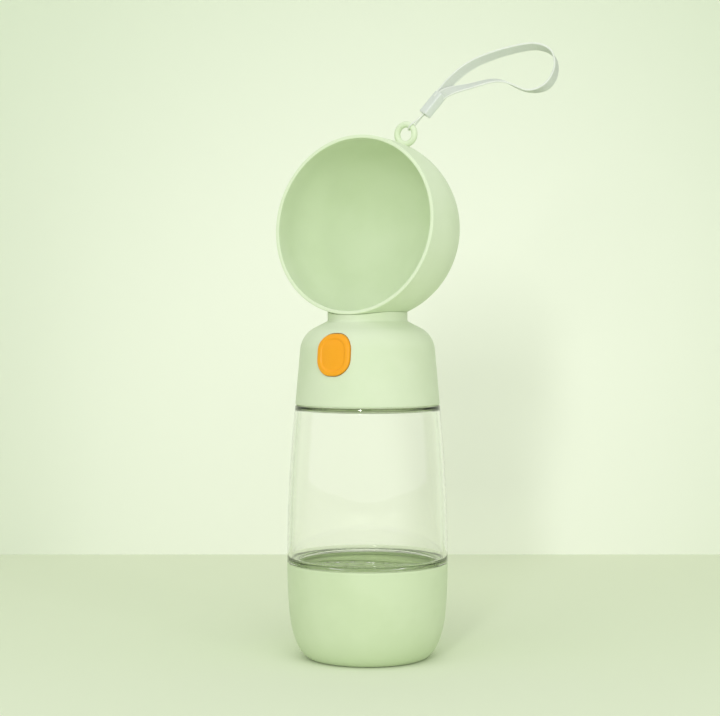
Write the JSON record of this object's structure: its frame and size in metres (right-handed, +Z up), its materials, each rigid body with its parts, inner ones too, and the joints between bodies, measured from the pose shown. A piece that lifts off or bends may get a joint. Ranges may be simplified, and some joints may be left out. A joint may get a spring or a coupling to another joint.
{
  "type": "dog travel water bottle",
  "caption": "Travel bottle for a dog: a tipped drinking bowl and push-button valve screw onto a clear water bottle, with a screw-on food cup below and a thin wrist strap.",
  "frame": {"origin": "centre of the flat foot that the bottle stands on, on the bottle's axis", "axes": "+Z up along the bottle's axis, -Y to the front where the bowl opens and the button sits, +X to the object's left, where the eyelet leans"},
  "size_m": [0.1209, 0.0806, 0.2857],
  "materials": {
    "green_plastic": "fine matte, pale green",
    "clear_plastic": "clear polished plastic, faint green",
    "orange_plastic": "satin, warm orange",
    "inner_plastic": "natural off-white",
    "soft_seal": "pale silicone rubber",
    "steel": "bright stainless steel",
    "webbing": "woven polyester, pale grey green",
    "bead_plastic": "satin, milky white"
  },
  "bodies": {
    "cup": {"base_cup": "green_plastic"},
    "cup_seal_ring": {"cup_seal": "soft_seal"},
    "bottle": {"bottle": "clear_plastic"},
    "mouth_seal_ring": {"mouth_seal": "soft_seal"},
    "head": {"collar": "green_plastic", "inner_cap": "inner_plastic", "chamber_seal": "soft_seal", "chamber_lid": "inner_plastic", "lid_screws": "steel", "outlet_tube": "inner_plastic", "outlet_seal": "soft_seal", "bowl": "green_plastic", "bowl_screws": "steel", "stem_seal": "soft_seal", "seal_washer": "steel", "button_spring": "steel", "valve_spring": "steel"},
    "button": {"button": "orange_plastic"},
    "valve": {"valve_stem": "inner_plastic", "stem_pin": "steel", "valve_plug": "soft_seal", "spring_washer": "steel"},
    "strap": {"hang_cord": "webbing", "strap_bead": "bead_plastic", "wrist_strap": "webbing"}
  },
  "joints": [
    {"name": "bottle_lift", "type": "slide", "parent": "cup", "child": "cup_seal_ring", "axis": [0, 0, 1], "range_m": [0, 0.012]},
    {"name": "bottle_turn", "type": "hinge", "parent": "cup_seal_ring", "child": "bottle", "pos_m": [0, 0, 0.0448], "axis": [0, 0, 1], "range_deg": [0, 540]},
    {"name": "head_lift", "type": "slide", "parent": "bottle", "child": "mouth_seal_ring", "axis": [0, 0, 1], "range_m": [0, 0.012]},
    {"name": "head_turn", "type": "hinge", "parent": "mouth_seal_ring", "child": "head", "pos_m": [0, 0, 0.11835], "axis": [0, 0, 1], "range_deg": [0, 540]},
    {"name": "button_press", "type": "slide", "parent": "head", "child": "button", "axis": [0, 1, 0], "range_m": [0, 0.0025], "stiffness_N_per_m": 800, "springref_m": -0.002, "deforming": ["button_spring"]},
    {"name": "valve_open", "type": "slide", "parent": "head", "child": "valve", "axis": [0, 0, -1], "range_m": [0, 0.0025], "stiffness_N_per_m": 500, "springref_m": -0.002, "deforming": ["valve_spring"]},
    {"name": "strap_swing", "type": "hinge", "parent": "head", "child": "strap", "pos_m": [0.01761, 0.0049, 0.24353], "axis": [0, 1, 0], "range_deg": [-115, 80]}
  ],
  "couplings": [
    {"joint": "bottle_lift", "follows": "bottle_turn", "m_per_rad": 0.0012732},
    {"joint": "head_lift", "follows": "head_turn", "m_per_rad": 0.0012732},
    {"joint": "valve_open", "follows": "button_press", "ratio": 1}
  ]
}
